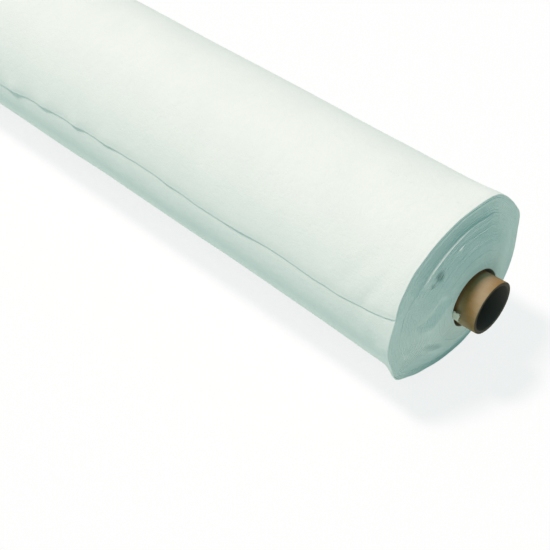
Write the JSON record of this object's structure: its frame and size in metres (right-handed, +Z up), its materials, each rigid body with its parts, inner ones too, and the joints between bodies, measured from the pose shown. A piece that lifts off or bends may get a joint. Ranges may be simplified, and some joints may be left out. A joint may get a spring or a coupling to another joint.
{
  "type": "geotextile roll",
  "caption": "Roll of white nonwoven geotextile on a cardboard core, telescoped at one end, with its free end on the front.",
  "frame": {"origin": "on the ground under the middle of the part's overall length and width", "axes": "+X along the roll towards the end whose windings stand out, -Y the front where the free edge lies, +Z up"},
  "size_m": [2.064, 0.3189, 0.2977],
  "materials": {
    "kraft_board": "matt spiral-wound kraft board",
    "adhesive_strip": "double-sided adhesive strip",
    "geotextile": "matt needle-punched nonwoven"
  },
  "bodies": {
    "roll": {"core_tube": "kraft_board", "core_tape": "adhesive_strip", "start_tongue": "geotextile", "inner_windings": "geotextile", "outer_wraps": "geotextile"},
    "free_end": {"free_end": "geotextile"}
  },
  "joints": [
    {"name": "free_end_lift", "type": "hinge", "parent": "roll", "child": "free_end", "pos_m": [0, -0.06963, 0.28124], "axis": [-1, 0, 0], "range_deg": [0, 75]}
  ]
}
